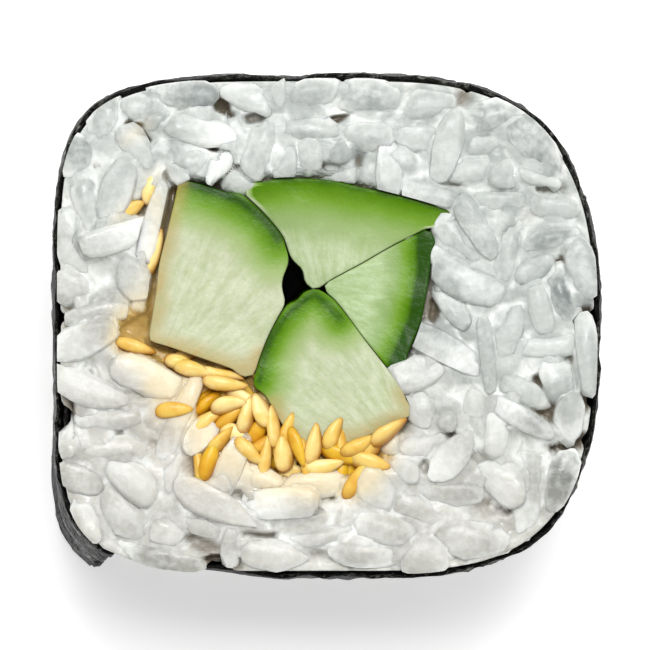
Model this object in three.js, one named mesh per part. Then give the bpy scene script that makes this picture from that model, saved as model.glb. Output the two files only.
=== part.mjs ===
// A piece of cucumber maki roll that stands on its lower cut face: a ring of pressed rice,
// a seaweed sheet wrapped once round it with a lapped seam, and four cucumber sticks that
// run through the middle. X and Y lie across the roll and Z runs along it. The origin is on
// the resting face, under the middle of the roll.
import * as THREE from 'three';
import { mergeVertices } from 'three/addons/utils/BufferGeometryUtils.js';

// Driving dimensions, in millimetres, with angles in degrees from +X towards +Y.
const ROLL = { width: 31, depth: 28.5, squareness: 4.0, softRight: 1.1, softTop: 0.2 };
const SHEET = { wall: 0.4, foot: 1.3, head: 20.2, innerEnd: 170, outerEnd: 586 };
const SEAM = { layerGap: 0.15, flapStart: 560, flapFull: 592, flapLift: 1.2 };
const LAP = { inFrom: 20, inTo: 2, outFrom: 6, outTo: 36 };
const RICE = { knife: 21.25, lipInset: 0.45, lipRelief: 0.35, lipRound: 0.35 };
const GRAIN = { pitch: 3.2, long: 3.1, short: 1.6, rise: 0.75, lipScale: 3 };
const CLEARANCE = 0.3;
const BUNDLE = { x: -1.4, y: 0.8, window: 4.5 };
const STICK_FOOT = 0.25;
const STICK_BEVEL = 0.25;

// Steps of the facets.
const STEPS = { round: 100, ringTop: 8, ringBottom: 4, sheet: 120, outlineSamples: 90 };

// Each stick is cut lengthwise from a cucumber. Its skin is one curved side, given by its
// start, its bend and its end, and the flat cut sides join the corners that follow.
const STICKS = [
  {
    name: 'cucumber_1',
    head: 21.2,
    skin: [[-8.35, 8.2], [-4.45, 7.6], [-2.7, 5.0]],
    corners: [[-2.6, 3.3], [-2.85, 1.2], [-3.3, 0.0], [-4.35, -2.6], [-10.0, -0.75], [-9.4, 3.4]],
  },
  {
    name: 'cucumber_2',
    head: 20.7,
    skin: [[-4.4, 7.75], [-2.2, 9.3], [7.1, 6.4]],
    corners: [[5.6, 5.8], [-0.75, 2.35], [-2.3, 5.15]],
  },
  {
    name: 'cucumber_3',
    head: 21.0,
    skin: [[5.7, 5.4], [6.15, 1.5], [3.85, -2.75]],
    corners: [[1.25, 0.8], [-0.05, 2.3]],
  },
  {
    name: 'cucumber_4',
    head: 21.3,
    skin: [[-0.75, 1.9], [-3.5, 0.2], [-3.9, -3.1]],
    corners: [
      [-2.4, -5.6], [-1.4, -7.2], [1.6, -6.4], [4.8, -4.9], [3.5, -2.85], [1.0, 0.45], [0.25, 1.4],
    ],
  },
];

const FINISH = {
  nori: new THREE.MeshStandardMaterial({ color: 0x14150f, roughness: 0.5, metalness: 0 }),
  rice: new THREE.MeshStandardMaterial({ color: 0xe0e2dc, roughness: 0.45, metalness: 0 }),
  cucumber: new THREE.MeshStandardMaterial({ color: 0xc3dc96, roughness: 0.35, metalness: 0 }),
};

const radians = THREE.MathUtils.degToRad;
const degrees = THREE.MathUtils.radToDeg;
const ramp = THREE.MathUtils.smoothstep;

// The roll's outside as a distance from the axis: a superellipse with bowed sides whose
// corners are squarer on the left than on the right.
function rollRadius(angle) {
  const across = Math.cos(angle);
  const up = Math.sin(angle);
  const power = ROLL.squareness - ROLL.softRight * across - ROLL.softTop * up;
  const x = Math.abs(across) / (ROLL.width / 2);
  const y = Math.abs(up) / (ROLL.depth / 2);
  return (x ** power + y ** power) ** (-1 / power);
}

// How far the sheet's first layer and the rice step in under the lapped seam, as a share.
// They step in just before the sheet's start and come out again after the end of the lap.
function underLap(angle) {
  const turn = (degrees(angle) + 360) % 360;
  const lapEnd = SHEET.outerEnd - 360;
  const stepIn = ramp(turn, SHEET.innerEnd - LAP.inFrom, SHEET.innerEnd - LAP.inTo);
  return stepIn - ramp(turn, lapEnd + LAP.outFrom, lapEnd + LAP.outTo);
}

function polar(radius, angle) {
  return new THREE.Vector2(radius * Math.cos(angle), radius * Math.sin(angle));
}

// The seaweed sheet seen along the roll: a strip of even thickness that starts under the
// seam, goes once round and laps over its own start. Its free end stands off the corner.
function sheetOutline() {
  const outerFace = [];
  const innerFace = [];
  for (let i = 0; i <= STEPS.sheet; i += 1) {
    const turn = THREE.MathUtils.lerp(SHEET.innerEnd, SHEET.outerEnd, i / STEPS.sheet);
    const angle = radians(turn);
    const firstLayer = turn < SHEET.innerEnd + 180;
    const stepIn = firstLayer ? (SHEET.wall + SEAM.layerGap) * underLap(angle) : 0;
    const lift = SEAM.flapLift * ramp(turn, SEAM.flapStart, SEAM.flapFull);
    const radius = rollRadius(angle) - stepIn + lift;
    outerFace.push(polar(radius, angle));
    innerFace.push(polar(radius - SHEET.wall, angle));
  }
  return new THREE.Shape([...outerFace, ...innerFace.reverse()]);
}

function makeNori() {
  const strip = { depth: SHEET.head - SHEET.foot, bevelEnabled: false };
  const geometry = new THREE.ExtrudeGeometry(sheetOutline(), strip);
  return geometry.translate(0, 0, SHEET.foot);
}

// A number from 0 to 1 that is always the same for the same cell of the grain pattern.
function scatter(column, row, salt) {
  const wave = Math.sin(column * 127.1 + row * 311.7 + salt * 74.7) * 43758.5;
  return wave - Math.floor(wave);
}

// Height of the pressed grains, from 0 in the creases to 1 on a grain's crown. Each cell
// holds one oval grain at its own place and turn, and the nearest one counts.
function grainRelief(x, y) {
  const homeColumn = Math.floor(x / GRAIN.pitch);
  const homeRow = Math.floor(y / GRAIN.pitch);
  let nearest = 1;
  for (let column = homeColumn - 1; column <= homeColumn + 1; column += 1) {
    for (let row = homeRow - 1; row <= homeRow + 1; row += 1) {
      const dx = x - (column + scatter(column, row, 1)) * GRAIN.pitch;
      const dy = y - (row + scatter(column, row, 2)) * GRAIN.pitch;
      const turn = Math.PI * scatter(column, row, 3);
      const along = (dx * Math.cos(turn) + dy * Math.sin(turn)) / GRAIN.long;
      const aside = (dy * Math.cos(turn) - dx * Math.sin(turn)) / GRAIN.short;
      nearest = Math.min(nearest, along * along + aside * aside);
    }
  }
  return 1 - nearest;
}

function stickShape({ skin, corners }) {
  const [start, bend, end] = skin;
  const shape = new THREE.Shape();
  shape.moveTo(...start);
  shape.quadraticCurveTo(...bend, ...end);
  for (const corner of corners) {
    shape.lineTo(...corner);
  }
  shape.closePath();
  return shape;
}

function makeCucumber(stick) {
  const depth = stick.head - STICK_FOOT - 2 * STICK_BEVEL;
  const bevel = { bevelThickness: STICK_BEVEL, bevelSize: STICK_BEVEL, bevelOffset: -STICK_BEVEL };
  const settings = { depth, ...bevel, bevelSegments: 2, curveSegments: 8 };
  const geometry = new THREE.ExtrudeGeometry(stickShape(stick), settings);
  return geometry.translate(0, 0, STICK_FOOT + STICK_BEVEL);
}

// How far the bundle of sticks reaches from its own middle, as points in polar form.
function bundleReach() {
  const reach = [];
  for (const stick of STICKS) {
    for (const point of stickShape(stick).getSpacedPoints(STEPS.outlineSamples)) {
      const x = point.x - BUNDLE.x;
      const y = point.y - BUNDLE.y;
      reach.push({ angle: Math.atan2(y, x), radius: Math.hypot(x, y) });
    }
  }
  return reach;
}

// The hole in the rice: it clears the furthest stick in each direction.
function holeRadius(angle, reach) {
  const window = radians(BUNDLE.window);
  const facing = reach.filter((point) => Math.cos(point.angle - angle) > Math.cos(window));
  return Math.max(...facing.map((point) => point.radius)) + CLEARANCE;
}

// The rice ring's section: how far out from hole to outside, from 0 to 1, and how high.
function riceSection() {
  const section = [];
  const insideOfLip = 1 - RICE.lipRound / 4;
  for (let i = 0; i < STEPS.ringBottom; i += 1) {
    section.push([(insideOfLip * i) / (STEPS.ringBottom - 1), 0]);
  }
  section.push([1, RICE.lipRound], [1, SHEET.foot - CLEARANCE]);
  section.push([1, SHEET.foot], [1, (SHEET.foot + SHEET.head) / 2], [1, SHEET.head]);
  section.push([1, SHEET.head + CLEARANCE], [1, RICE.knife - RICE.lipRound]);
  for (let i = 0; i <= STEPS.ringTop; i += 1) {
    section.push([insideOfLip * (1 - i / STEPS.ringTop), RICE.knife]);
  }
  section.push([0, RICE.knife / 2], [0, 0]);
  return section;
}

// Carries a point of the section to its place on the roll, in the given direction.
function placeRice(share, height, angle, reach) {
  const wrapped = height > SHEET.foot - CLEARANCE / 2 && height < SHEET.head + CLEARANCE / 2;
  const underSheet = SHEET.wall + CLEARANCE + (SHEET.wall + SEAM.layerGap) * underLap(angle);
  const edge = polar(rollRadius(angle), angle);
  const lipRise = grainRelief(edge.length() * angle, height * GRAIN.lipScale);
  const lip = RICE.lipInset - RICE.lipRelief * lipRise;
  const outside = polar(rollRadius(angle) - (wrapped ? underSheet : lip), angle);
  const hole = polar(holeRadius(angle, reach), angle).add(new THREE.Vector2(BUNDLE.x, BUNDLE.y));
  const place = hole.lerp(outside, share);
  const cutFace = height > RICE.knife - 1.5 * RICE.lipRound;
  const relief = cutFace ? GRAIN.rise * grainRelief(place.x, place.y) : 0;
  return new THREE.Vector3(place.x, place.y, height + relief);
}

// The section is turned round an upright axis, one unit out so that its hole stays open,
// and each vertex is then carried to its place.
function makeRice() {
  const section = riceSection().map(([share, height]) => new THREE.Vector2(1 + share, height));
  const geometry = new THREE.LatheGeometry(section, STEPS.round);
  const reach = bundleReach();
  const vertex = geometry.attributes.position;
  for (let i = 0; i < vertex.count; i += 1) {
    const share = Math.hypot(vertex.getX(i), vertex.getZ(i)) - 1;
    const angle = Math.atan2(-vertex.getZ(i), vertex.getX(i));
    const place = placeRice(share, vertex.getY(i), angle, reach);
    vertex.setXYZ(i, place.x, place.y, place.z);
  }
  return geometry;
}

function addPiece(group, name, geometry, material) {
  geometry.deleteAttribute('normal');
  geometry.deleteAttribute('uv');
  const closed = mergeVertices(geometry);
  closed.computeVertexNormals();
  const mesh = new THREE.Mesh(closed, material);
  mesh.name = name;
  group.add(mesh);
}

const roll = new THREE.Group();
addPiece(roll, 'nori', makeNori(), FINISH.nori);
addPiece(roll, 'rice', makeRice(), FINISH.rice);
for (const stick of STICKS) {
  addPiece(roll, stick.name, makeCucumber(stick), FINISH.cucumber);
}

export default roll;
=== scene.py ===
"""A piece of cucumber maki roll: pressed rice grains, toasted sesame, four cucumber sticks
and a lapped seaweed wrap, standing on its lower cut face. Shapes are worked out in
millimetres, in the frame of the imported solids, and put into the meshes in metres."""

import math
from itertools import product

import bpy
import numpy as np
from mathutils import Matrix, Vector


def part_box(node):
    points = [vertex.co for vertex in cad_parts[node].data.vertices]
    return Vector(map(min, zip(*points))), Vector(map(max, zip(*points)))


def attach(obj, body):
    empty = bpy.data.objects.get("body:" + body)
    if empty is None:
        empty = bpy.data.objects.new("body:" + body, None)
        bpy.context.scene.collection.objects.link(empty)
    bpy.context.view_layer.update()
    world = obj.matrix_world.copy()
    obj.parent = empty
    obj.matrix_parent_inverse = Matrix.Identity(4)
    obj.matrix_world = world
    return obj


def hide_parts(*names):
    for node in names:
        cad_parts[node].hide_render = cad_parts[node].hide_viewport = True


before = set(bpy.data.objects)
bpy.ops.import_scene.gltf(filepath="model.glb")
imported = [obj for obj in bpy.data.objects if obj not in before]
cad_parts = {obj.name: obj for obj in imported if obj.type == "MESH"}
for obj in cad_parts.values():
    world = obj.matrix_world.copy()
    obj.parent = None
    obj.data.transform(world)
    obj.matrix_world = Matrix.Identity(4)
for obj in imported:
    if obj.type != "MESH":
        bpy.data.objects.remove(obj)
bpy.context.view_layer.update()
MM = 0.001

# The roll's outside, as in the solids: a superellipse, squarer on the left than the right.
WRAP_LOW, WRAP_HIGH = (np.array(corner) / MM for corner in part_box("nori"))
HALF_WIDTH, HALF_DEPTH = (WRAP_HIGH - WRAP_LOW)[:2] / 2
WRAP_FOOT, WRAP_HEAD = WRAP_LOW[2], WRAP_HIGH[2]
SQUARENESS, SOFT_RIGHT, SOFT_TOP = 4.0, 1.1, 0.2

# The seaweed sheet: its thickness, the room that the rice leaves for it, the turns in degrees
# where it starts and ends, the gap between its layers, and its free flap.
SHEET_WALL = 0.36
SHEET_ROOM = 0.4
SHEET_START, SHEET_END = 170.0, 586.0
LAYER_GAP = 0.15
FLAP_START, FLAP_FULL, FLAP_LIFT = 554.0, 592.0, 1.25
# Degrees before the sheet's start over which the first layer steps in under the lap, and
# degrees after the end of the lap over which it comes out again.
STEP_IN_FROM, STEP_IN_TO = 20, 2
STEP_OUT_FROM, STEP_OUT_TO = 6, 36
# The mean radius, which turns angles into millimetres along the sheet, and its width.
MEAN_RADIUS = 16.5
SHEET_WIDTH = 19
# How ragged the free end is, in degrees, and over how many degrees before it.
TORN_BY = 1.3
TORN_OVER = 14

# The knife's two cuts through the rice, how far the pressed core stays behind them, and how
# far the rice stays inside the roll's outside where it stands past the sheet.
UPPER_CUT = 21.3
LOWER_CUT = 0.0
CORE_DROP = 0.35
LIP_INSET = 0.12

# Skins of the cucumber sticks in plan: start, bend and end of each curved side.
STICK_SKINS = {
    "cucumber_1": [(-8.35, 8.2), (-4.45, 7.6), (-2.7, 5.0)],
    "cucumber_2": [(-4.4, 7.75), (-2.2, 9.3), (7.1, 6.4)],
    "cucumber_3": [(5.7, 5.4), (6.15, 1.5), (3.85, -2.75)],
    "cucumber_4": [(-0.75, 1.9), (-3.5, 0.2), (-3.9, -3.1)],
}
STICK_NAMES = sorted(STICK_SKINS)
# How pale each stick's flesh is painted, from 0 to 1.
STICK_PALENESS = {"cucumber_1": 1.0, "cucumber_2": 0.5, "cucumber_3": 0.15, "cucumber_4": 0.9}
# How far in each stick's skin colours start, and how quickly they follow each other.
STICK_BANDS = {
    "cucumber_1": (-0.1, 1.0),
    "cucumber_2": (0.2, 0.74),
    "cucumber_3": (-0.72, 1.32),
    "cucumber_4": (0.02, 1.22),
}
# How each stick's upper end leans, as a rise for each millimetre along X and Y.
STICK_LEANS = {
    "cucumber_1": (0.01, 0.02),
    "cucumber_2": (0.03, 0.09),
    "cucumber_3": (0.05, -0.02),
    "cucumber_4": (-0.01, 0.03),
}
# How far each stick swells past its solid, the most by which it closes on a neighbour, half
# the gap left there, the distances to a neighbour between which the closing fades, and how
# far all sticks sway.
STICK_SWELL = 0.12
MOST_SWELL = 0.45
HALF_GAP = 0.02
CLOSE_BY, TOO_FAR = 0.9, 1.5
STICK_SWAY = 0.08
# Edges of the sticks that lie against the sesame, which stains them.
STAINED_EDGES = {
    "cucumber_1": [(-8.5, 8.2), (-9.4, 3.4), (-10.0, -0.75), (-4.35, -2.6), (-3.9, -1.6)],
    "cucumber_4": [(-3.1, -4.6), (-2.4, -5.6), (-1.4, -7.2), (1.6, -6.4), (4.8, -4.9), (4.2, -3.9)],
}
# The stick whose pale side shows in the gap that it closes, and the one whose skin folds
# over its upper corner to the given point.
PALE_SIDED = "cucumber_2"
FOLDED = "cucumber_4"
FOLD_END = (0.7, 0.5)
# The middle of the cucumber that each stick was cut from, to which its streaks run, and the
# distance from it at which a streak has its mean width.
STREAK_MIDDLES = {
    "cucumber_1": (-12.0, -6.0),
    "cucumber_2": (0.5, -3.0),
    "cucumber_3": (-5.0, 3.5),
    "cucumber_4": (6.0, -9.0),
}
STREAK_RADIUS = 9.0

# Sesame seeds on the upper face: place in plan, turn in degrees, how far each is rolled on
# its edge and tipped on its end in degrees, depth of its middle below the cut, and how
# deeply it is toasted from 0 to 1.
UPPER_SEEDS = [
    (-5.8, -3.25, -8, 25, 3, -0.15, 0.15),
    (-5.6, -4.5, 14, 35, 5, -0.2, 0.05),
    (-7.6, -2.5, -15, 20, 0, 0.1, 0.1),
    (-5.45, -5.15, 40, 60, 10, 0.3, 1.0),
    (-4.55, -5.1, 80, 45, 12, 0.05, 0.5),
    (-3.75, -4.75, 115, 40, 10, -0.05, 0.1),
    (-3.05, -5.7, 95, 50, 5, 0.0, 0.3),
    (-4.0, -6.0, 60, 20, 10, 0.45, 1.0),
    (-6.7, -7.6, 72, 30, 8, 0.0, 0.75),
    (-7.2, -7.9, 100, 60, 5, 0.25, 0.85),
    (-6.0, -6.5, 48, 55, 5, 0.05, 0.35),
    (-4.5, -7.1, -42, 50, 5, 0.05, 0.15),
    (-3.5, -7.4, 85, 60, 5, 0.1, 0.3),
    (-2.5, -7.2, 95, 25, 10, 0.15, 0.25),
    (-1.75, -6.8, -68, 50, 8, 0.05, 0.6),
    (-0.8, -6.7, 80, 40, 10, 0.1, 0.35),
    (0.35, -6.1, 65, 30, 12, 0.05, 0.65),
    (0.75, -7.3, -20, 40, 5, 0.3, 1.0),
    (1.8, -6.75, 28, 55, 3, -0.05, 0.9),
    (3.5, -6.0, 36, 50, 3, -0.2, 0.4),
    (2.4, -7.7, -14, 25, 5, 0.1, 0.55),
    (1.6, -8.75, 60, 20, 10, 0.25, 0.7),
    (-8.7, -4.75, 5, 15, 5, -0.1, 0.7),
    (-0.2, -7.9, 10, 30, 5, 0.25, 0.15),
    (-11.4, 6.4, 35, 30, 8, 0.5, 0.3),
    (-9.95, 8.0, 72, 40, 5, 0.5, 0.0),
    (-10.8, 11.0, 40, 50, 5, 1.5, 1.0),
    (-9.8, 4.2, 75, 70, 5, 0.55, 0.4),
    (-10.9, -1.15, -18, 70, 0, 0.45, 0.5),
    (-8.4, -2.05, -17, 80, 0, 0.45, 0.2),
    (-6.0, -2.75, -12, 80, 0, 0.4, 0.2),
    (-6.9, -5.4, 35, 40, 8, 0.3, 0.6),
    (-5.2, -6.2, -20, 30, 5, 0.35, 0.3),
    (-2.4, -6.2, 70, 40, 8, 0.3, 0.9),
    (-3.3, -6.6, 30, 50, 5, 0.4, 0.8),
    (-1.2, -7.6, 100, 40, 8, 0.3, 0.6),
    (0.9, -6.7, 100, 50, 5, 0.35, 0.9),
    (2.7, -6.6, 60, 50, 5, 0.25, 0.9),
    (-4.7, -4.3, -30, 30, 5, 0.2, 0.2),
]
SEED_LENGTH, SEED_WIDTH, SEED_THICKNESS = 2.45, 1.08, 0.7
SEED_RINGS, SEED_AROUND = 9, 12
# Seeds deeper in the upper face and seeds at the lower one: how many, and the places in plan
# round which they lie.
HIDDEN_SEEDS = 40
LOWER_SEEDS = 24
SEED_POCKET = [(-4.6, -5.2), (1.2, -7.6), (-6.3, -3.6), (-2.5, -7.2), (-8.2, -2.9)]

# Rice grains placed on the upper face: middle in plan, turn in degrees, half length, half
# width, and how milky each is, from 0 for glassy to 1 for white.
UPPER_GRAINS = [
    (5.7, 12.3, 5, 2.0, 1.2, 0.7),
    (9.6, 11.9, 20, 2.0, 1.15, 0.45),
    (11.6, 10.2, -62, 2.3, 1.3, 0.25),
    (8.6, 10.4, 10, 1.5, 0.9, 0.8),
    (4.9, 8.9, -8, 2.0, 1.3, 0.75),
    (7.9, 8.9, 0, 1.6, 0.9, 0.9),
    (11.9, 8.3, -25, 1.3, 0.55, 1.0),
    (12.6, 6.9, -18, 1.6, 0.85, 0.75),
    (9.7, 7.0, 5, 2.0, 0.95, 0.75),
    (7.7, 4.9, -60, 2.3, 1.3, 0.7),
    (10.0, 4.3, 80, 2.2, 1.2, 0.65),
    (12.7, 4.9, 10, 1.7, 0.85, 0.45),
    (13.3, 1.8, -75, 1.9, 1.2, 0.05),
    (9.5, 1.3, 20, 2.2, 1.1, 0.65),
    (12.4, -1.1, 4, 2.2, 0.95, 1.0),
    (7.2, -0.5, -10, 1.6, 1.0, 0.75),
    (6.9, -3.3, 85, 2.0, 1.5, 0.75),
    (9.3, -5.8, 85, 1.8, 1.1, 0.85),
    (11.2, -3.7, -20, 1.9, 0.9, 0.7),
    (13.6, -5.2, 80, 1.7, 1.0, 0.55),
    (13.2, -8.5, 72, 1.8, 1.0, 0.1),
    (11.3, -9.4, 85, 2.6, 1.2, 0.5),
    (8.3, -12.1, -8, 2.4, 1.2, 0.6),
    (5.0, -10.4, -25, 2.3, 1.2, 0.7),
    (7.0, -9.3, 0, 2.0, 0.9, 0.5),
    (5.6, -6.6, 20, 1.6, 1.0, 0.8),
    (2.2, -12.7, 0, 2.2, 0.9, 0.55),
    (-0.3, -11.9, 15, 2.2, 1.0, 0.7),
    (-3.2, -12.8, -3, 2.1, 1.0, 1.0),
    (-2.8, -10.6, -5, 2.3, 0.9, 0.5),
    (-6.9, -10.9, -20, 2.1, 1.2, 0.7),
    (-9.6, -13.0, -9, 2.7, 0.85, 0.35),
    (-11.4, -10.6, -50, 2.6, 1.5, 0.7),
    (-12.1, -7.2, -5, 2.6, 1.25, 0.85),
    (-8.7, -8.1, 80, 2.0, 1.0, 0.75),
    (-12.4, -5.1, 10, 1.9, 0.95, 0.7),
    (-12.8, -2.2, -25, 2.0, 1.2, 0.75),
    (-9.9, -2.7, -22, 2.0, 0.8, 0.85),
    (-8.7, -5.9, 0, 1.8, 1.2, 0.8),
    (-0.8, -8.9, 5, 2.2, 1.0, 0.85),
    (-4.2, -8.6, -8, 2.0, 0.9, 0.8),
    (-8.1, 13.0, -3, 2.05, 0.95, 0.2),
    (-4.6, 12.9, -15, 1.7, 0.85, 0.95),
    (-7.1, 11.0, -8, 2.4, 1.0, 0.7),
    (-10.7, 12.3, -10, 1.2, 0.8, 0.8),
    (-12.5, 11.6, 80, 1.7, 1.1, 0.5),
    (-14.2, 9.6, 70, 1.3, 0.95, 0.35),
    (-12.3, 9.2, 85, 1.8, 1.0, 0.75),
    (-13.4, 6.6, 95, 1.8, 1.2, 0.75),
    (-10.4, 8.6, 75, 1.6, 1.0, 0.9),
    (-7.6, 9.2, 5, 1.6, 0.9, 0.65),
    (-3.9, 10.0, 70, 1.9, 1.3, 0.7),
    (-1.0, 11.0, 0, 2.0, 1.2, 0.75),
    (2.7, 12.9, -5, 2.3, 1.1, 0.5),
    (2.5, 10.6, 0, 2.0, 1.1, 0.65),
    (2.6, 8.9, 60, 1.0, 0.75, 0.3),
    (-12.4, 3.6, 80, 2.3, 1.2, 0.75),
    (-12.6, 0.9, 20, 1.9, 1.1, 0.7),
    (-0.9, 13.3, 10, 1.8, 0.8, 0.6),
]
# Grains between those, and grains at the lower face.
FILLER_GRAINS = 200
LOWER_GRAINS = 175

# Open pits between the grains: middle in plan, half sizes, turn in degrees, and depth as a
# share of the deepest. Within PIT_CLEAR of the cut, no grain reaches into them.
PIT_CLEAR = 0.9
DEEPEST_PIT = 1.25
PITS = [
    (7.55, 7.75, 0.3, 0.22, 0, 0.35),
    (12.3, 7.75, 0.75, 0.22, -10, 0.7),
    (7.75, 12.75, 0.5, 0.35, 80, 0.35),
    (14.5, 0.35, 0.6, 0.45, 40, 1.0),
    (12.95, -2.65, 0.5, 0.25, 0, 0.25),
    (14.75, -4.0, 0.4, 0.25, 80, 0.8),
    (13.6, -6.75, 1.0, 0.22, 12, 1.0),
    (8.8, -7.6, 0.95, 0.4, -35, 0.5),
    (9.1, -9.5, 0.7, 0.28, 88, 0.35),
    (5.5, -8.0, 0.35, 0.3, -45, 0.55),
    (-0.9, -10.4, 0.65, 0.25, 10, 0.5),
    (-5.1, -9.6, 0.5, 0.28, 0, 0.6),
    (-3.9, -11.85, 0.9, 0.2, -4, 0.6),
    (-7.0, -12.4, 1.4, 0.35, -22, 0.3),
    (-6.1, -13.4, 0.8, 0.4, 0, 1.0),
    (-9.85, -6.65, 0.25, 0.2, 0, 0.35),
    (-10.1, -8.75, 0.3, 0.28, 0, 0.7),
    (-14.9, -5.2, 0.9, 0.3, 75, 0.6),
    (-10.9, -3.85, 0.9, 0.25, 2, 0.25),
    (-13.1, 9.0, 0.25, 0.2, 0, 0.6),
    (-10.7, 11.1, 0.8, 0.3, -40, 1.0),
    (-5.9, 12.4, 0.7, 0.4, -40, 1.0),
    (-4.0, 11.85, 0.7, 0.35, 10, 0.65),
    (-5.7, 9.3, 0.6, 0.3, 80, 1.0),
    (-6.6, 10.2, 0.5, 0.18, -25, 0.8),
    (0.5, 11.8, 0.8, 0.25, 25, 0.7),
    (-0.4, 9.15, 1.1, 0.22, -5, 0.7),
    (-2.4, -5.85, 0.5, 0.25, -65, 1.0),
    (-14.6, 0.4, 0.8, 0.35, 80, 0.5),
    (6.1, 0.9, 0.9, 0.3, 75, 0.6),
    (-6.1, 8.1, 0.8, 0.25, -10, 0.6),
]


# ---------------------------------------------------------------- fields and outlines


def ramp(low, high, value):
    """Rises from 0 at low to 1 at high along 3t^2 - 2t^3."""
    t = np.clip((value - low) / (high - low), 0, 1)
    return t * t * (3 - 2 * t)


def cell_value(cell, salt):
    """A number from -1 to 1 for each whole-numbered cell: the fraction left of a large sine."""
    mixed = cell @ np.array([127.1, 311.7, 74.7]) + 19.19 * salt
    wave = np.sin(mixed) * 43758.5453
    return 2 * (wave - np.floor(wave)) - 1


def rough(points, size, salt):
    """Smooth random relief from -1 to 1: random values at the corners of cubes of the given
    size, blended across each cube along 3t^2 - 2t^3."""
    cell = np.asarray(points, float) / np.asarray(size, float)
    base = np.floor(cell)
    share = cell - base
    share = share * share * (3 - 2 * share)
    total = 0
    for corner in product((0, 1), repeat=3):
        weight = np.prod(np.where(corner, share, 1 - share), axis=-1)
        total = total + weight * cell_value(base + corner, salt)
    return total


def roll_radius(angle):
    """The roll's outside as a distance from its axis: (|x/a|^n + |y/b|^n)^(-1/n), where n
    falls towards the right and a little towards the top."""
    across, up = np.cos(angle), np.sin(angle)
    power = SQUARENESS - SOFT_RIGHT * across - SOFT_TOP * up
    x = np.maximum(np.abs(across) / HALF_WIDTH, 1e-9)
    y = np.maximum(np.abs(up) / HALF_DEPTH, 1e-9)
    return (x**power + y**power) ** (-1 / power)


def under_lap(angle):
    """Share by which the first layer and the rice step in under the sheet's lapped seam."""
    turn = np.degrees(angle) % 360
    lap_end = SHEET_END - 360
    begin = ramp(SHEET_START - STEP_IN_FROM, SHEET_START - STEP_IN_TO, turn)
    return begin - ramp(lap_end + STEP_OUT_FROM, lap_end + STEP_OUT_TO, turn)


def line_relief(places, size, salt):
    """Relief from -1 to 1 at the given places along a line."""
    return rough(places[..., None] * (1, 0, 0), size, salt)


def head_height(angle):
    """Height of the sheet's upper edge: slow waves round the roll, as the knife left it."""
    return WRAP_HEAD - 0.12 + 0.14 * np.sin(2 * angle + 0.6) + 0.08 * np.sin(5 * angle)


def foot_height(angle):
    """Height of the sheet's lower edge, as slow waves too."""
    return WRAP_FOOT + 0.1 + 0.1 * np.sin(3 * angle + 2) + 0.06 * np.sin(7 * angle)


def rice_limit(angle, height):
    """How far out rice may reach: the sheet's inner face, and past the sheet's edges a
    little over them."""
    tucked = roll_radius(angle) - SHEET_ROOM - (SHEET_WALL + LAYER_GAP) * under_lap(angle)
    above = ramp(0.0, 0.5, height - head_height(angle))
    below = ramp(0.0, 0.4, foot_height(angle) - height)
    free = above + below
    return tucked + (roll_radius(angle) - LIP_INSET - tucked) * free


def wall_distance(points):
    """Signed distance inside the rice's outer limit, and the direction outwards: the radial
    gap divided by the steepness of the limit as the angle changes."""
    angle = np.arctan2(points[..., 1], points[..., 0])
    radius = np.hypot(points[..., 0], points[..., 1])
    height = points[..., 2]
    step = 0.01
    limit = rice_limit(angle, height)
    change = rice_limit(angle + step, height) - rice_limit(angle - step, height)
    slope = change / (2 * step) / np.maximum(radius, 1)
    steep = np.sqrt(1 + slope**2)
    radial = np.stack([np.cos(angle), np.sin(angle), 0 * angle], -1)
    aside = np.stack([-np.sin(angle), np.cos(angle), 0 * angle], -1)
    outward = (radial - slope[..., None] * aside) / steep[..., None]
    return (limit - radius) / steep, outward


def evenly(points, count):
    """Points at equal steps along a closed outline."""
    closed = np.vstack([points, points[:1]])
    length = np.concatenate([[0], np.cumsum(np.hypot(*np.diff(closed, axis=0).T))])
    at = np.linspace(0, length[-1], count, endpoint=False)
    return np.stack([np.interp(at, length, closed[:, k]) for k in (0, 1)], -1)


def stick_outline(name, count, softness=0.14):
    """A stick's outline in plan, from the solid's widest section, with softened corners:
    the even outline is blurred along its length by a bell curve."""
    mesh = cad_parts[name].data
    place = np.array([vertex.co for vertex in mesh.vertices]) / MM
    middle = (place[:, 2].min() + place[:, 2].max()) / 2
    rim = place[place[:, 2] > middle]
    widest = rim[rim[:, 2] < rim[:, 2].min() + 0.01]
    section = np.unique(widest[:, :2].round(3), axis=0)
    heart = section.mean(0)
    section = section[np.argsort(np.arctan2(*(section - heart).T[::-1]))]
    outline = evenly(section, 480)
    spacing = np.hypot(*(outline[1] - outline[0]))
    reach = int(3 * softness / spacing)
    bell = np.exp(-0.5 * (np.arange(-reach, reach + 1) * spacing / softness) ** 2)
    blurred = sum(w * np.roll(outline, k, axis=0) for k, w in zip(range(-reach, reach + 1), bell))
    return evenly(blurred / bell.sum(), count)


def outward_normals(outline):
    """Unit normals of a closed outline that runs anticlockwise."""
    along = np.roll(outline, -1, axis=0) - np.roll(outline, 1, axis=0)
    normal = np.stack([along[:, 1], -along[:, 0]], -1)
    return normal / np.hypot(*normal.T)[:, None]


# The sticks' outlines as they are in the solids, and swollen.
OUTLINES = {name: stick_outline(name, 120) for name in STICK_NAMES}
GROWN = {
    name: outline + STICK_SWELL * outward_normals(outline) for name, outline in OUTLINES.items()
}


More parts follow.
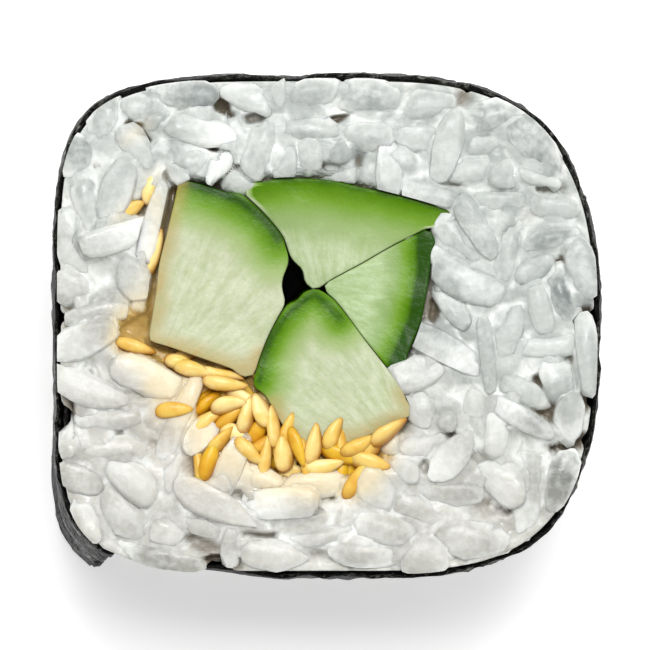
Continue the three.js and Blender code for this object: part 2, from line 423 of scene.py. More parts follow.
def closing_swell(name):
    """How far each point of a stick's outline swells: a little, and where another stick is
    near, out to the middle of the gap between them."""
    others = [evenly(OUTLINES[other], 900) for other in STICK_NAMES if other != name]
    room = np.linalg.norm(OUTLINES[name][:, None] - np.vstack(others)[None], axis=-1).min(1)
    meet = np.clip(room / 2 - HALF_GAP, 0, MOST_SWELL)
    swell = meet + (STICK_SWELL - meet) * ramp(CLOSE_BY, TOO_FAR, room)
    return sum(np.roll(swell, k) for k in (-1, 0, 1)) / 3


def notch(x, y, across, up, turn):
    """An angular pit: five corners at uneven steps round an oval of the given half sizes,
    turned in degrees."""
    step = np.arange(5.0)
    wander = cell_value(np.stack([step + x, step + y, 0 * step], -1), 7)
    t = 2 * np.pi * (step + 0.4 * wander) / 5
    c, s = math.cos(math.radians(turn)), math.sin(math.radians(turn))
    return evenly([x, y] + np.stack([across * np.cos(t), up * np.sin(t)], -1) @ [[c, s], [-s, c]], 30)


# Places without grains: two gaps between the sticks, and near the upper cut a stained gap
# and a wedge beside the first stick, and the pits. Depths are shares of the deepest pit.
BETWEEN = evenly(np.array([(-2.9, 5.3), (-4.1, -2.7), (0.5, 1.7), (0.8, 2.7)]), 60)
SLIT = evenly(np.array([(-2.9, 0.5), (-4.2, 0.5), (-5.0, -3.3), (-3.5, -3.6)]), 60)
BESIDE = evenly(np.array([(-8.9, 8.1), (-9.9, 3.4), (-10.5, -0.95), (-4.5, -3.0), (-4.5, 6.0)]), 90)
WEDGE = evenly(np.array([(-11.9, -0.25), (-9.9, -1.0), (-10.0, 1.0)]), 60)
BESIDE_DEPTH, WEDGE_DEPTH = 0.3, 0.25
OPENINGS = [BESIDE, WEDGE] + [notch(*row[:5]) for row in PITS]
OPENING_DEPTHS = DEEPEST_PIT * np.array([BESIDE_DEPTH, WEDGE_DEPTH] + [row[5] for row in PITS])


def outline_distance(points, outlines):
    """Signed distance outside the nearest outline, the direction away from it and its
    place in the list: each outline is convex, so its distance is the largest distance past
    any of its sides."""
    flat = points[..., :2]
    best = np.full(flat.shape[:-1], np.inf)
    away = np.zeros(points.shape)
    which = np.zeros(flat.shape[:-1], int)
    for number, outline in enumerate(outlines):
        sides = outline[::3]
        normals = outward_normals(sides)
        past = flat @ normals.T - np.sum(sides * normals, 1)
        side = np.argmax(past, -1)
        distance = np.take_along_axis(past, side[..., None], -1)[..., 0]
        nearer = distance < best
        best = np.where(nearer, distance, best)
        which = np.where(nearer, number, which)
        away[..., :2] = np.where(nearer[..., None], normals[side], away[..., :2])
    return best, away, which


def stick_distance(points):
    """Distance and direction away from what grains keep clear of: the sticks, the gaps
    between them, and near the upper cut the openings."""
    solid, away = outline_distance(points, [*GROWN.values(), BETWEEN, SLIT])[:2]
    gap, apart = outline_distance(points, OPENINGS)[:2]
    open_here = (points[..., 2] > UPPER_CUT - PIT_CLEAR) & (gap < solid)
    return np.where(open_here, gap, solid), np.where(open_here[..., None], apart, away)


# ---------------------------------------------------------------- meshes


def grid_faces(rows, columns):
    """Quads of a grid that closes on itself across its columns. They face the side from
    which the rows run downwards and the columns to the right."""
    row, column = np.meshgrid(np.arange(rows - 1), np.arange(columns), indexing="ij")
    after = (column + 1) % columns
    corners = [row * columns + column, (row + 1) * columns + column]
    corners += [(row + 1) * columns + after, row * columns + after]
    return np.stack(corners, -1).reshape(-1, 4)


def ball_faces(rings, around):
    """Quads between rings, and triangles to one pole before the first ring and one after
    the last. The poles are the last two vertices."""
    ring = np.arange(around)
    after = (ring + 1) % around
    last = (rings - 1) * around
    first_pole = np.full(around, rings * around)
    start = np.stack([ring, after, first_pole], -1)
    end = np.stack([last + after, last + ring, first_pole + 1], -1)
    return [grid_faces(rings, around), np.vstack([start, end])]


def repeat_faces(faces, copies, size):
    """The same faces for many copies of a shape, one after the other."""
    shift = np.arange(copies)[:, None, None] * size
    return [(part[None] + shift).reshape(-1, part.shape[1]) for part in faces]


def make_piece(name, vertices, faces, finish, slot, replaces=(), **fields):
    """Puts arrays into a mesh in metres, with smooth faces and named fields on its points,
    and lets it ride on the roll."""
    mesh = bpy.data.meshes.new(name)
    vertices = np.asarray(vertices, float).reshape(-1, 3)
    corners = np.concatenate([part.ravel() for part in faces])
    sizes = np.concatenate([np.full(len(part), part.shape[1]) for part in faces])
    mesh.vertices.add(len(vertices))
    mesh.vertices.foreach_set("co", (vertices * MM).ravel())
    mesh.loops.add(len(corners))
    mesh.loops.foreach_set("vertex_index", corners.astype(np.int32))
    mesh.polygons.add(len(sizes))
    starts = np.concatenate([[0], np.cumsum(sizes)[:-1]])
    mesh.polygons.foreach_set("loop_start", starts.astype(np.int32))
    mesh.polygons.foreach_set("use_smooth", np.ones(len(sizes), bool))
    mesh.update(calc_edges=True)
    mesh.validate()
    for field, values in fields.items():
        attribute = mesh.attributes.new(field, "FLOAT", "POINT")
        attribute.data.foreach_set("value", np.ravel(values).astype(np.float32))
    mesh.materials.append(finish)
    piece = bpy.data.objects.new(name, mesh)
    bpy.context.scene.collection.objects.link(piece)
    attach(piece, "root")
    if replaces:
        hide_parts(*replaces)
    return piece


# ---------------------------------------------------------------- finishes


class Value:
    """A socket whose arithmetic adds Math nodes."""

    def __init__(self, paint, socket):
        self.paint = paint
        self.socket = socket

    def math(self, operation, first, second):
        return self.paint.node("Math", {"operation": operation}, {0: first, 1: second})

    def __add__(self, other):
        return self.math("ADD", self, other)

    def __sub__(self, other):
        return self.math("SUBTRACT", self, other)

    def __rsub__(self, other):
        return self.math("SUBTRACT", other, self)

    def __mul__(self, other):
        return self.math("MULTIPLY", self, other)

    __radd__ = __add__
    __rmul__ = __mul__


class Paint:
    """One material: a Principled shader, and the nodes that feed it."""

    def __init__(self, name, **constants):
        self.material = bpy.data.materials.new(name)
        self.material.use_nodes = True
        self.tree = self.material.node_tree
        self.shader = self.tree.nodes["Principled BSDF"]
        for socket, value in constants.items():
            self.shader.inputs[socket.replace("_", " ")].default_value = value

    def feed(self, socket, value):
        if isinstance(value, Value):
            self.tree.links.new(value.socket, socket)
        else:
            socket.default_value = value

    def node(self, kind, settings=None, inputs=None, output=0):
        made = self.tree.nodes.new("ShaderNode" + kind)
        for name, value in (settings or {}).items():
            setattr(made, name, value)
        for name, value in (inputs or {}).items():
            self.feed(made.inputs[name], value)
        return Value(self, made.outputs[output])

    def field(self, name):
        return self.node("Attribute", {"attribute_name": name}, output="Fac")

    def place(self):
        return self.node("TexCoord", output="Object")

    def stretched(self, scale, turn=(0, 0, 0)):
        inputs = {"Vector": self.place(), "Scale": scale, "Rotation": turn}
        return self.node("Mapping", inputs=inputs)

    def noise(self, scale, detail=2.0, vector=None, roughness=0.5):
        inputs = {"Vector": vector or self.place(), "Scale": scale, "Detail": detail}
        return self.node("TexNoise", inputs={**inputs, "Roughness": roughness})

    def between(self, value, low, high):
        """Rises from 0 at low to 1 at high, as a smooth step."""
        settings = {"interpolation_type": "SMOOTHSTEP"}
        return self.node("MapRange", settings, {"Value": value, "From Min": low, "From Max": high})

    def thread(self, noise):
        """Thin lines where a noise passes its middle value."""
        off = self.node("Math", {"operation": "ABSOLUTE"}, {0: noise - 0.5})
        return self.between(off, 0.05, 0.0)

    def blend(self, share, first, second):
        """A colour that goes from first to second."""
        settings = {"data_type": "RGBA"}
        return self.node("Mix", settings, {0: share, 6: first, 7: second}, output=2)

    def bump(self, height, distance, strength=1.0):
        inputs = {"Height": height, "Distance": distance, "Strength": strength}
        return self.node("Bump", inputs=inputs, output="Normal")

    def set(self, **links):
        for socket, value in links.items():
            self.feed(self.shader.inputs[socket.replace("_", " ")], value)
        return self.material


def colour(red, green, blue):
    """A linear colour from the 0 to 255 steps of a screen."""
    steps = np.array([red, green, blue]) / 255
    linear = np.where(steps <= 0.04045, steps / 12.92, ((steps + 0.055) / 1.055) ** 2.4)
    return (*linear, 1.0)


def rice_finish():
    """Moist cooked rice: light passes a little way in. It is cool in general, warmer where
    the sesame has stained it, painted paler at the grains' shoulders as a painted highlight,
    and painted darker greige in sunk pits as painted shade."""
    paint = Paint("cooked rice", Subsurface_Weight=0.6, Subsurface_Scale=0.0004)
    paint.shader.inputs["Subsurface Radius"].default_value = (1.0, 0.95, 0.85)
    paint.shader.inputs["IOR"].default_value = 1.4
    tone, stain = paint.field("tone"), paint.field("stain")
    cloud = paint.noise(450.0, 3.0)
    fleck = paint.noise(2600.0, 3.0, roughness=0.6)
    cool = paint.blend(tone, colour(104, 112, 111), colour(196, 200, 196))
    warm = paint.blend(tone, colour(146, 138, 124), colour(210, 203, 191))
    base = paint.blend(stain, cool, warm)
    glassy = 1.0 - tone
    # The blend to white holds the grains' real clouding and fine mottling, and the rim field, a
    # painted highlight that paints each grain paler on its shoulders below its crown.
    milky_and_highlight = paint.between(cloud, 0.4, 0.7) * (0.15 + 0.45 * glassy) + paint.field("rim") * 0.7
    milky_and_highlight = milky_and_highlight + 0.25 * (paint.between(fleck, 0.3, 0.7) - 0.5)
    base = paint.blend(milky_and_highlight, base, colour(236, 238, 234))
    amber = paint.field("amber")
    base = paint.blend(amber * 0.5, base, colour(244, 224, 172))
    # painted shade: sunk places are painted dark greige, and amber-tan near the sesame.
    pit_shade_colour = paint.blend(amber, colour(116, 107, 92), colour(188, 158, 92))
    base = paint.blend(paint.field("pit"), base, pit_shade_colour)
    relief = paint.bump(fleck + 3.0 * cloud, 0.00008, 0.5)
    sheen = 0.3 + 0.25 * paint.between(paint.noise(1200.0, 2.0), 0.3, 0.7)
    return paint.set(Base_Color=base, Roughness=sheen, Normal=relief, Coat_Weight=0.1)


def sesame_finish():
    """Hulled sesame: cream to toasted gold, painted brown as painted shade on the lower
    flanks and in the creases, and brown at the tips too.
    """
    paint = Paint("toasted sesame", Roughness=0.4, Subsurface_Weight=0.15, Subsurface_Scale=0.0004)
    toast = paint.field("toast")
    patch = paint.between(paint.noise(900.0, 2.0), 0.4, 0.7)
    pale = paint.blend(patch, colour(248, 224, 154), colour(237, 202, 106))
    gold = paint.blend(patch, colour(226, 180, 36), colour(212, 152, 16))
    base = paint.blend(toast, pale, gold)
    # painted shade: the shade field paints the seeds brown on their lower flanks and in the creases,
    # and at their tips.
    base = paint.blend(paint.field("shade") * 0.9, base, colour(170, 104, 8))
    return paint.set(Base_Color=base, Normal=paint.bump(paint.noise(2500.0, 2.0), 0.00003))


def cucumber_finish():
    """Cucumber: dark green skin, bright green just under it, and pale flesh, ruled by the
    depth under the skin in millimetres. The flesh has fine veins and cells, and streaks that
    run to the cucumber's middle. Some sticks are paler, and edges beside the sesame are
    stained."""
    paint = Paint("cucumber flesh", Roughness=0.3, Subsurface_Weight=0.15, Subsurface_Scale=0.0003)
    paint.shader.inputs["Subsurface Radius"].default_value = (0.7, 1.0, 0.35)
    paint.shader.inputs["IOR"].default_value = 1.22
    wander = 0.45 * (paint.noise(600.0, 3.0) - 0.5)
    depth = paint.field("depth") + wander
    veins = paint.noise(1400.0, 4.0, roughness=0.65)
    vein = paint.between(veins, 0.35, 0.65)
    cells = paint.between(paint.noise(3600.0, 3.0, roughness=0.6), 0.35, 0.65)
    inwards = paint.node("CombineXYZ", inputs={"X": paint.field("across"), "Y": depth * 0.22})
    streaks = paint.noise(2.2, 3.0, inwards, 0.6)
    vein = vein * 0.3 + cells * 0.15 + paint.between(streaks, 0.35, 0.65) * 0.55
    pale = paint.blend(vein, colour(171, 180, 141), colour(197, 202, 176))
    green = paint.blend(vein, colour(147, 172, 113), colour(176, 196, 152))
    flesh = paint.blend(paint.field("pale"), green, pale)
    under = paint.blend(paint.field("pale"), colour(132, 160, 96), colour(152, 173, 110))
    base = paint.blend(paint.between(depth, 1.6, 3.2), under, flesh)
    base = paint.blend(paint.between(depth, 0.8, 1.9), colour(108, 148, 40), base)
    base = paint.blend(paint.between(depth, 0.3, 1.1), colour(78, 122, 0), base)
    skin = paint.blend(paint.between(depth, -0.05, 0.45), colour(34, 72, 0), base)
    stained = paint.field("stained") * (0.4 + 0.5 * vein)
    skin = paint.blend(stained, skin, colour(172, 148, 84))
    relief = paint.bump(0.3 * veins + 0.2 * cells + 0.9 * streaks, 0.00009, 0.4)
    return paint.set(Base_Color=skin, Normal=relief)


def nori_finish():
    """Roasted seaweed: near black with a green-brown cast, painted blacker where its relief is
    low as painted shade. Short pale threads lie crossed in it, as lines along which a noise
    passes its middle; they are painted paler still as a painted highlight in patches and on
    the sheet's crests, and they shine."""
    paint = Paint("roasted seaweed", IOR=1.2, Coat_Roughness=0.25)
    fibres = paint.noise(1100.0, 3.0, paint.stretched((1.0, 1.0, 0.45), (0.5, 0.6, 0.0)), 0.6)
    threads = paint.noise(1100.0, 3.0, paint.stretched((0.5, 0.5, 1.2), (-0.4, 0.5, 0.3)), 0.6)
    line = paint.thread(fibres) + paint.thread(threads)
    # painted highlight: the pale threads are painted brightest in noise patches and along the sheet's
    # crests; shine also sets the glossy coat.
    patch = 0.5 * paint.between(paint.noise(330.0, 4.0, roughness=0.7), 0.45, 0.75)
    patch = patch + 0.75 * paint.field("crest")
    patch = patch * (0.3 + 0.9 * paint.between(paint.noise(150.0, 2.0), 0.38, 0.62))
    broken = paint.between(paint.noise(2400.0, 2.0), 0.35, 0.6)
    shine = line * broken * (0.06 + 0.94 * patch)
    # painted shade: the sheet is painted blacker where its bump relief is low and less black where it
    # is raised.
    hollow_shade_mask = paint.between(fibres + threads, 0.85, 1.15)
    dark = paint.blend(hollow_shade_mask, colour(2, 2, 1), colour(12, 12, 9))
    base = paint.blend(shine, dark, colour(104, 104, 97))
    sheen = 0.5 - 0.15 * patch
    relief = paint.bump(fibres + threads + 0.2 * line, 0.0003, 1.0)
    return paint.set(Base_Color=base, Roughness=sheen, Normal=relief, Coat_Weight=shine * 0.5)


def floor_finish():
    """The floor: white, and lit a little from below, so that its shadows stay pale."""
    paint = Paint("pale floor", Roughness=0.7, Emission_Strength=0.32)
    away = paint.node("VectorMath", {"operation": "LENGTH"}, {0: paint.place()}, output="Value")
    glow = paint.blend(paint.between(away, 0.012, 0.015), (0, 0, 0, 1), (1, 1, 1, 1))
    return paint.set(Base_Color=colour(250, 250, 250), Emission_Color=glow)


# ---------------------------------------------------------------- cucumber sticks


def stick_profile(foot, head, round_by=0.1):
    """Rows from the middle of the upper end to the middle of the lower one: each has the
    share of the way out to the outline, the inset there and the height."""
    across = np.linspace(0.08, 0.94, 11)
    turn = np.linspace(0, np.pi / 2, 5)
    rim_inset = round_by * (1 - np.sin(turn))
    rim_drop = round_by * (1 - np.cos(turn))
    side = np.linspace(head - round_by, foot + round_by, 18)[1:-1]
    share = np.concatenate([across, np.ones(2 * len(turn) + len(side)), across[::-1]])
    end_inset = 0 * across + round_by
    inset = np.concatenate([end_inset, rim_inset, 0 * side, rim_inset[::-1], end_inset])
    upper_end, lower_end = 0 * across + head, 0 * across + foot
    height = np.concatenate([upper_end, head - rim_drop, side, foot + rim_drop[::-1], lower_end])
    return share, inset, height


def nearest_on(line, points):
    """Distance in plan to the nearest point of a finely stepped line."""
    return np.linalg.norm(points[:, None, :2] - line[None], axis=-1).min(1)


def skin_depth(name, points):
    """Depth under a stick's skin in plan, whose curved side is followed in short steps."""
    start, bend, end = np.array(STICK_SKINS[name])
    t = np.linspace(0, 1, 60)[:, None]
    skin = (1 - t) ** 2 * start + 2 * t * (1 - t) * bend + t**2 * end
    if name == FOLDED:
        skin = np.vstack([skin, np.linspace(skin[0], FOLD_END, 12)])
    return nearest_on(skin, points)


def streak_place(name, points):
    """The place across a stick's streaks, in millimetres: the angle about the cucumber's
    middle, times STREAK_RADIUS."""
    x, y = (points[:, :2] - STREAK_MIDDLES[name]).T
    return STREAK_RADIUS * np.arctan2(y, x)


def edge_stain(name, points):
    """The sesame's stain on a stick: 1 at the edges beside the seeds, fading within 1.1 mm."""
    if name not in STAINED_EDGES:
        return np.zeros(len(points))
    corners = np.array(STAINED_EDGES[name])
    step = np.linspace(0, len(corners) - 1, 120)
    edge = np.stack([np.interp(step, np.arange(len(corners)), corners[:, k]) for k in (0, 1)], -1)
    near = nearest_on(edge, points) + 0.25 * rough(points, 1.1, 35)
    return 1 - ramp(0.0, 1.1, near)


def make_stick(name, finish):
    """A stick: its swollen outline carried along the profile and drawn in towards its
    middle at the ends, which lean, are dished and are faintly ridged. Its sides sway, and
    all sticks sway alike, so that they keep apart."""
    low, high = (np.array(corner)[2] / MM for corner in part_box(name))
    share, inset, height = stick_profile(low, high)
    swell = closing_swell(name)
    outline = OUTLINES[name] + swell[:, None] * outward_normals(OUTLINES[name])
    normals = outward_normals(outline)
    heart = outline.mean(0)
    edge = outline[None] - inset[:, None, None] * normals[None]
    plan = heart + share[:, None, None] * (edge - heart)
    points = np.concatenate([plan, np.broadcast_to(height[:, None, None], (*plan.shape[:2], 1))], -1)
    points = points.reshape(-1, 3)
    poles = np.array([[*heart, high], [*heart, low]])
    points = np.vstack([points, poles])
    lean = np.array(STICK_LEANS[name])
    upper = ramp(high - 3, high, points[:, 2])
    lower = 1 - ramp(low, low + 1, points[:, 2])
    dish = np.linalg.norm(points[:, :2] - heart, axis=1) / 5
    relief = 0.09 * rough(points, 1.6, 31) + 0.03 * rough(points, 0.5, 32) - 0.12 * (1 - dish)
    points[:, 2] += upper * ((points[:, :2] - heart) @ lean + relief)
    points[:, 2] -= lower * np.minimum(0.5 * relief, 0)
    start, pace = STICK_BANDS[name]
    depth = start + pace * skin_depth(name, points)
    across = streak_place(name, points)
    stained = edge_stain(name, points)
    if name == PALE_SIDED:
        rim = share[:, None] > 0.99
        closed = np.append((rim * ramp(0.16, 0.3, swell)).ravel(), [0, 0])
        depth += 2.5 * closed
    drawn_out = points * (1, 1, 0.3)
    sway = np.stack([rough(drawn_out, 1.8, 33), rough(drawn_out, 1.8, 34)], -1)
    points[:, :2] += STICK_SWAY * sway
    faces = ball_faces(len(height), len(outline))
    pale = np.full(len(points), STICK_PALENESS[name])
    fields = {"depth": depth, "across": across, "pale": pale, "stained": stained}
    return make_piece(f"{name}_stick", points, faces, finish, "cucumber", [name], **fields)


# ---------------------------------------------------------------- seaweed sheet


def sheet_relief(along, height):
    """How far the sheet stands in or out: soft bulges over the grains under it, crumples
    as folded ridges, and fine fibres, in millimetres. Also where its folds are, from 0 to 1."""
    flat = np.stack([along, height, 0 * along], -1)
    warp = 0.8 * rough(flat, 2.2, 41)
    bent = flat + np.stack([warp, -warp, 0 * warp], -1)
    bulges = 0.10 * rough(bent, (3.4, 2.6, 1), 42)
    ridges = 1 - 2 * np.abs(rough(bent, (1.7, 1.3, 1), 43))
    slanted = np.stack([along + 0.6 * height, height - 0.5 * along, 0 * along], -1)
    creases = 1 - 2 * np.abs(rough(slanted, (1.5, 0.7, 1), 44))
    crossed = np.stack([along - 0.7 * height, height + 0.4 * along, 0 * along], -1)
    fibres = 0.03 * rough(crossed, (1.1, 0.45, 1), 45)
    crest = np.maximum(ramp(0.45, 1.0, ridges), 0.7 * ramp(0.5, 1.0, creases))
    return bulges + 0.11 * ridges + 0.05 * creases + fibres, crest


def make_sheet(finish, columns=520, rows=66):
    """The sheet: its radius follows the roll from the start under the seam, once round and
    over its own start, with the free end standing off, more so at the foot. Each column is
    a closed loop up the outer face and down the inner one, and the two ends are closed
    across the wall, which thins towards the sheet's edges."""
    turn = np.linspace(SHEET_START, SHEET_END, columns)[:, None]
    share = np.linspace(0, 1, rows)[None]
    up = share * SHEET_WIDTH
    torn = line_relief(up, 1.3, 52) + 0.5 * line_relief(up, 0.5, 53)
    ragged = line_relief(turn, 2.5, 51)
    angle = np.radians(turn)
    head = head_height(angle) + 0.07 * ragged
    foot = foot_height(angle) + 0.05 * ragged
    height = foot + (head - foot) * share
    angle = angle + np.radians(TORN_BY) * torn * ramp(SHEET_END - TORN_OVER, SHEET_END, turn)
    first = turn < SHEET_START + 180
    step_in = np.where(first, (SHEET_WALL + LAYER_GAP) * under_lap(angle), 0)
    lift = FLAP_LIFT * ramp(FLAP_START, FLAP_FULL, turn)
    along = angle * MEAN_RADIUS
    relief, crest = sheet_relief(along + 0 * share, height)
    hugging = np.where(first, 1 - 0.7 * under_lap(angle), 1)
    outer = roll_radius(angle) - step_in + lift * (1.3 - 1.38 * share) + relief * hugging
    edge = np.minimum(1, np.minimum(share, 1 - share) * rows / 2.5)
    wall = SHEET_WALL * (0.45 + 0.55 * edge)
    trim = SHEET_WALL * 0.25 * (1 - edge)
    outer = outer - trim
    inner = outer - wall
    outside = np.stack([outer * np.cos(angle), outer * np.sin(angle), height], -1)
    inside = np.stack([inner * np.cos(angle), inner * np.sin(angle), height], -1)
    loop = np.concatenate([outside, inside[:, ::-1]], 1)
    quads = grid_faces(columns, 2 * rows)
    k = np.arange(rows - 1)
    cap = np.stack([k, k + 1, 2 * rows - 2 - k, 2 * rows - 1 - k], -1)
    caps = np.vstack([cap, (cap + (columns - 1) * 2 * rows)[:, ::-1]])
    crests = np.concatenate([crest, crest[:, ::-1]], 1)
    return make_piece("seaweed_sheet", loop, [quads, caps], finish, "nori", ["nori"], crest=crests)


# ---------------------------------------------------------------- sesame seeds


def oval(rings, around, drop=0.0, pinch=0.0):
    """Points of a ball drawn out along X: x = cos v, and the width is sin(v)^0.85 times
    (1 - drop x - pinch x^2), which makes a drop of it with its tip at x = 1. The poles are
    the last two points."""
    v = np.linspace(0, np.pi, rings + 2)[1:-1, None]
    u = np.linspace(0, 2 * np.pi, around, endpoint=False)[None]
    x = np.cos(v) + 0 * u
    width = np.sin(v) ** 0.85 * (1 - drop * x - pinch * x**2)
    shape = np.stack([x, width * np.cos(u), width * np.sin(u)], -1).reshape(-1, 3)
    return np.vstack([shape, [[1, 0, 0], [-1, 0, 0]]])


def turned_frame(yaw, roll, pitch):
    """Three axes of a seed: its length turned by yaw in plan and tipped by pitch, and its
    flat side rolled about the length."""
    yaw, roll, pitch = np.radians(yaw), np.radians(roll), np.radians(pitch)
    length = np.array([np.cos(yaw) * np.cos(pitch), np.sin(yaw) * np.cos(pitch), np.sin(pitch)])
    level = np.array([-np.sin(yaw), np.cos(yaw), 0.0])
    up = np.cross(length, level)
    width = np.cos(roll) * level + np.sin(roll) * up
    return length, width, np.cross(length, width)


def seed_table(rng):
    """All seeds as rows of place, yaw, roll, pitch and toasting: those on the upper face,
    some deeper among them, and a like pocket at the lower face."""
    rows = [
        (x, y, UPPER_CUT - down, yaw, roll, pitch, toast)
        for x, y, yaw, roll, pitch, down, toast in UPPER_SEEDS
    ]
    pocket = np.array(SEED_POCKET)
    for k in range(HIDDEN_SEEDS + LOWER_SEEDS):
        upper = k < HIDDEN_SEEDS
        x, y = pocket[rng.integers(len(pocket))] + rng.normal(0, 0.8, 2)
        z = UPPER_CUT - rng.uniform(0.9, 1.9) if upper else LOWER_CUT + rng.uniform(0.5, 1.6)
        yaw, roll, pitch = rng.uniform(0, 180), rng.normal(20, 30), rng.normal(0, 14)
        rows.append((x, y, z, yaw, roll, pitch, rng.uniform(0.1, 1.0)))
    return np.array(rows)


def make_seeds(table, rng, finish):
    """The seeds in their places: flat drops, each with its own size, bend and lumps, painted
    darker as painted shade on their lower flanks and in the creases, and darker at the tip."""
    shape = oval(SEED_RINGS, SEED_AROUND, 0.33, 0.12)
    half = np.array([SEED_LENGTH, SEED_WIDTH, SEED_THICKNESS]) / 2
    points = []
    for row in table:
        axes = np.array(turned_frame(*row[3:6]))
        size = half * rng.normal(1, (0.1, 0.1, 0.14))
        local = shape * size
        local[:, 1] += rng.normal(0, 0.07) * (shape[:, 0] ** 2 - 0.5)
        local[:, 2] += 0.09 * rough(local + row[:3], 0.9, 61)
        points.append(row[:3] + local @ axes)
    points = np.array(points)
    points[..., 2] = np.maximum(points[..., 2], LOWER_CUT + 0.03)
    count = len(table)
    toast = np.repeat(np.clip(table[:, 6] + rng.normal(0, 0.15, count), 0, 1), len(shape))
    height = points[..., 2] * np.sign(table[:, 2] - UPPER_CUT / 2)[:, None]
    # painted shade: each seed is painted darker the further a point lies below its highest one, and
    # towards its tip.
    below = ramp(0.12, 0.5, height.max(1, keepdims=True) - height)
    shade = np.maximum(below, 0.6 * ramp(0.75, 1.0, shape[:, 0]))
    faces = repeat_faces(ball_faces(SEED_RINGS, SEED_AROUND), count, len(shape))
    return make_piece("sesame_seeds", points, faces, finish, "sesame", toast=toast, shade=shade)


# ---------------------------------------------------------------- rice


# Where beads lie along a grain, as shares of its straight part, and along a seed, in
# millimetres, and the radius of a seed's bead.
BEADS = np.array([-1.0, -1 / 3, 1 / 3, 1.0])
SEED_BEADS = np.array([-0.8, 0, 0.8])
SEED_BEAD_RADIUS = 0.55
# How near two beads may come, as a share of their radii, and how near one may come to a
# seed, a stick or the wrap.
SQUEEZE = 0.84
FIRM = 0.92
# Distances within which a bead may meet another or a seed, and two grains' middles may lie
# for the grains to meet.
BEAD_REACH, SEED_REACH, MIDDLE_REACH = 2.7, 2.2, 5.6
# How far a placed grain moves for each millimetre that a free one would.
PLACED_MOVES = 0.004
# Room that a free grain needs to start in, and its distances from the wrap and the sticks.
FREE_ROOM = 1.35
FREE_OFF_WRAP, FREE_OFF_STICKS = 0.8, 0.6
# How much larger grains are made before they are pressed, and the furthest that two middle
# lines may lie apart, as a share of the widths, for their grains to meet.
GRAIN_SWELL = 1.1
MEETING = 1.35
# How softly a grain is pressed by its neighbours, and by a stick or the wrap.
GRAIN_SOFTNESS = 0.13
WALL_SOFTNESS = 0.03
RINGS, AROUND = 8, 12
# Lowest and highest level of each layer, and how strongly it is drawn to its cut.
UPPER_LAYER, UPPER_PULL = (17.8, 21.9), 0.01
LOWER_LAYER, LOWER_PULL = (-0.3, 2.8), -0.012


class Grains:
    """A layer of grains: middles, directions, half lengths, half widths, tones, and how
    freely each moves. The placed ones come first and hardly move."""

    def __init__(self, placed, count, low, high, rng):
        x, y, turn, length, width, tone = np.reshape(placed, (-1, 6)).T
        tip = np.radians(rng.normal(0, 7, len(x)))
        turn = np.radians(turn)
        level = np.cos(tip)
        self.direction = np.stack([np.cos(turn) * level, np.sin(turn) * level, np.sin(tip)], -1)
        self.middle = np.stack([x, y, UPPER_CUT + 0.1 - 0.8 * width], -1)
        self.length, self.width = length, width
        taken = self.beads().reshape(-1, 3)
        middle = np.zeros((0, 3))
        corners = (-HALF_WIDTH, -HALF_DEPTH, low), (HALF_WIDTH, HALF_DEPTH, high)
        while len(middle) < count:
            tries = rng.uniform(*corners, (3000, 3))
            off_wrap = wall_distance(tries)[0] > FREE_OFF_WRAP
            tries = tries[off_wrap & (stick_distance(tries)[0] > FREE_OFF_STICKS)]
            gaps = np.linalg.norm(tries[:, None] - taken[None], axis=-1)
            middle = np.vstack([middle, tries[np.all(gaps > FREE_ROOM, axis=1)]])
        direction = rng.normal(0, (1, 1, 0.6), (count, 3))
        direction /= np.linalg.norm(direction, axis=1)[:, None]
        self.middle = np.vstack([self.middle, middle[:count]])
        self.direction = np.vstack([self.direction, direction])
        self.length = np.append(length, np.clip(rng.normal(1.95, 0.4, count), 1.2, 2.8))
        self.width = np.append(width, np.clip(rng.normal(1.05, 0.15, count), 0.7, 1.4))
        self.tone = np.append(tone, rng.uniform(0.5, 0.9, count))
        self.moves = np.append(0 * x + PLACED_MOVES, np.ones(count))
        self.low, self.high = low, high

    def beads(self):
        """Four beads along each grain."""
        reach = (self.length - self.width)[:, None] * BEADS
        return self.middle[:, None] + reach[..., None] * self.direction[:, None]


def near_pairs(first, second, reach):
    """Index pairs of points of two sets that lie closer than reach."""
    gaps = np.linalg.norm(first[:, None] - second[None], axis=-1)
    return np.nonzero(gaps < reach)


def pair_push(points, others, pairs, room):
    """Pushes that part each pair of beads by the depth at which they overlap."""
    i, j = pairs
    apart = points[i] - others[j]
    gap = np.maximum(np.linalg.norm(apart, axis=1), 1e-6)
    depth = np.maximum(room - gap, 0)
    push = apart / gap[:, None] * depth[:, None]
    return np.stack([np.bincount(i, push[:, k], len(points)) for k in range(3)], -1)


